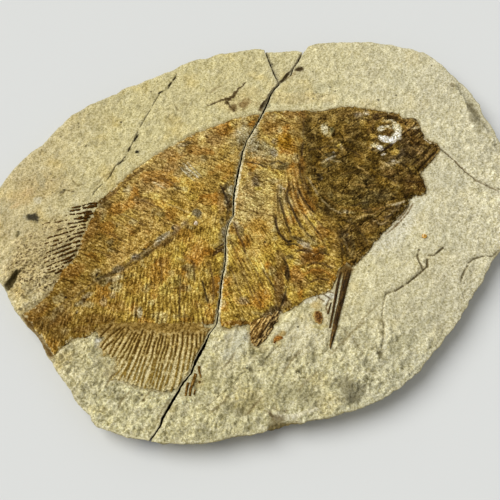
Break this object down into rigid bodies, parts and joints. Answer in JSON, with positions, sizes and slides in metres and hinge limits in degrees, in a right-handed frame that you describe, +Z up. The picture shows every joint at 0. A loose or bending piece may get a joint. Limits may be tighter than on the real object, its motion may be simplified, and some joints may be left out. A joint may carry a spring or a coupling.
{
  "type": "fossil fish slab",
  "caption": "Hand-trimmed limestone plate, broken and refitted, with a deep-bodied bony fish without its tail fin fixed on its upper face; lies flat, fossil face up.",
  "frame": {"origin": "centre of the plate's outline on the surface it lies on", "axes": "+Z up out of the fossil face, +X towards the fish's head along the plate's length, +Y towards the fish's back"},
  "size_m": [0.2996, 0.2522, 0.0144],
  "materials": {
    "limestone": "matte",
    "scaled_trunk": "satin",
    "skull_bone": "satin",
    "fin_rays": "matte",
    "dark_rays": "satin",
    "spine_bone": "gloss",
    "bone_chip": "satin",
    "amber": "gloss"
  },
  "bodies": {
    "root": {"slab_rear_half": "limestone", "slab_front_half": "limestone", "slab_top_wedge": "limestone", "trunk_rear": "scaled_trunk", "trunk_front": "scaled_trunk", "skull": "skull_bone", "anal_fin": "fin_rays", "anal_ray_tip_1": "fin_rays", "anal_ray_tip_2": "fin_rays", "anal_ray_tip_3": "fin_rays", "anal_ray_tip_4": "fin_rays", "anal_ray_tip_5": "fin_rays", "dorsal_fin": "dark_rays", "pelvic_fin": "dark_rays", "pectoral_spine_main": "spine_bone", "pectoral_spine_middle": "spine_bone", "pectoral_spine_short": "spine_bone", "bone_chip_brown": "bone_chip", "bone_chip_orange": "bone_chip", "amber_bead": "amber"}
  },
  "joints": []
}
